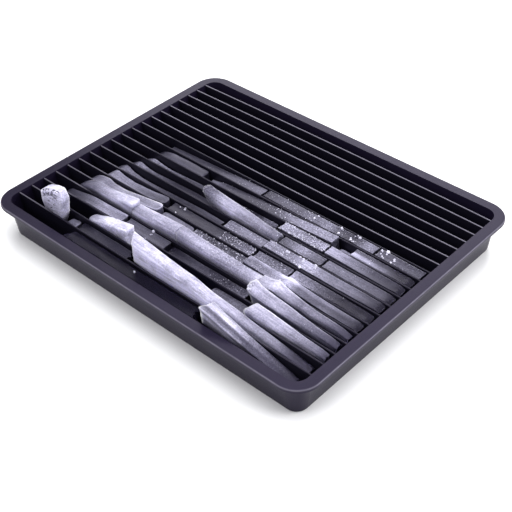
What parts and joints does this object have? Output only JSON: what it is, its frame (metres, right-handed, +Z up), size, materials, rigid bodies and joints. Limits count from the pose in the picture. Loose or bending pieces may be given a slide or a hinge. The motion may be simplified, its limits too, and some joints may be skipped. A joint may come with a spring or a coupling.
{
  "type": "divided ice tray",
  "caption": "Shallow rectangular ice tray with a flat rim and long upright dividers, its front troughs holding snapped bars of ice",
  "frame": {"origin": "centre of the tray's flat underside", "axes": "+X along the dividers towards the end where the ice fills the troughs, +Y from the front trough to the back trough, +Z up"},
  "size_m": [0.277, 0.2198, 0.0461],
  "materials": {
    "tray_silicone": "satin charcoal silicone with a purple cast",
    "divider_silicone": "satin charcoal silicone, lighter along the thin crest",
    "trough_ice": "clear to frosted ice with brushed streaks along the bar",
    "raised_ice": "frosted white ice, streaked along the bar, clear at thin edges"
  },
  "bodies": {
    "tray": {"tray_shell": "tray_silicone", "divider_01": "divider_silicone", "divider_02": "divider_silicone", "divider_03": "divider_silicone", "divider_04": "divider_silicone", "divider_05": "divider_silicone", "divider_06": "divider_silicone", "divider_07": "divider_silicone", "divider_08": "divider_silicone", "divider_09": "divider_silicone", "divider_10": "divider_silicone", "divider_11": "divider_silicone", "divider_12": "divider_silicone", "divider_13": "divider_silicone", "divider_14": "divider_silicone", "divider_15": "divider_silicone", "divider_16": "divider_silicone", "divider_17": "divider_silicone", "divider_18": "divider_silicone", "divider_19": "divider_silicone", "ice_09_left": "trough_ice", "ice_09_middle": "trough_ice", "ice_09_right": "trough_ice", "ice_10_left": "trough_ice", "ice_10_middle": "trough_ice", "ice_10_right": "trough_ice", "ice_11_left": "trough_ice", "ice_11_middle": "trough_ice", "ice_11_right": "trough_ice", "ice_12_left": "trough_ice", "ice_12_middle": "trough_ice", "ice_12_right": "trough_ice", "ice_13_left": "trough_ice", "ice_13_middle": "trough_ice", "ice_13_right": "trough_ice", "ice_14_left": "trough_ice", "ice_14_middle": "trough_ice", "ice_14_inner": "trough_ice", "ice_14_right": "trough_ice", "ice_15_middle": "trough_ice", "ice_15_right": "trough_ice", "ice_17_left": "trough_ice", "ice_17_middle": "trough_ice", "ice_17_inner": "trough_ice", "ice_19_dark": "trough_ice", "ice_20_dark": "trough_ice", "ice_chips": "trough_ice"},
    "shard_12": {"shard_12": "raised_ice"},
    "shard_15_left": {"shard_15_left": "raised_ice"},
    "shard_16_left": {"shard_16_left": "raised_ice"},
    "shard_16_middle": {"shard_16_middle": "raised_ice"},
    "shard_16_inner": {"shard_16_inner": "raised_ice"},
    "shard_16_right": {"shard_16_right": "raised_ice"},
    "shard_17_right": {"shard_17_right": "raised_ice"},
    "shard_18_left": {"shard_18_left": "raised_ice"},
    "shard_18_right": {"shard_18_right": "raised_ice"},
    "long_shard": {"long_shard": "raised_ice"},
    "front_shard": {"front_shard": "raised_ice"},
    "ice_lump": {"ice_lump": "raised_ice"}
  },
  "joints": [
    {"name": "shard_12_lift", "type": "slide", "parent": "tray", "child": "shard_12", "axis": [0, 0, 1], "range_m": [0, 0.05]},
    {"name": "shard_15_left_lift", "type": "slide", "parent": "tray", "child": "shard_15_left", "axis": [0, 0, 1], "range_m": [0, 0.05]},
    {"name": "shard_16_left_lift", "type": "slide", "parent": "tray", "child": "shard_16_left", "axis": [0, 0, 1], "range_m": [0, 0.05]},
    {"name": "shard_16_middle_lift", "type": "slide", "parent": "tray", "child": "shard_16_middle", "axis": [0, 0, 1], "range_m": [0, 0.05]},
    {"name": "shard_16_inner_lift", "type": "slide", "parent": "tray", "child": "shard_16_inner", "axis": [0, 0, 1], "range_m": [0, 0.05]},
    {"name": "shard_16_right_lift", "type": "slide", "parent": "tray", "child": "shard_16_right", "axis": [0, 0, 1], "range_m": [0, 0.05]},
    {"name": "shard_17_right_lift", "type": "slide", "parent": "tray", "child": "shard_17_right", "axis": [0, 0, 1], "range_m": [0, 0.05]},
    {"name": "shard_18_left_lift", "type": "slide", "parent": "tray", "child": "shard_18_left", "axis": [0, 0, 1], "range_m": [0, 0.05]},
    {"name": "shard_18_right_lift", "type": "slide", "parent": "tray", "child": "shard_18_right", "axis": [0, 0, 1], "range_m": [0, 0.05]},
    {"name": "long_shard_lift", "type": "slide", "parent": "tray", "child": "long_shard", "axis": [0, 0, 1], "range_m": [0, 0.05]},
    {"name": "front_shard_lift", "type": "slide", "parent": "tray", "child": "front_shard", "axis": [0, 0, 1], "range_m": [0, 0.05]},
    {"name": "ice_lump_lift", "type": "slide", "parent": "tray", "child": "ice_lump", "axis": [0, 0, 1], "range_m": [0, 0.05]}
  ]
}
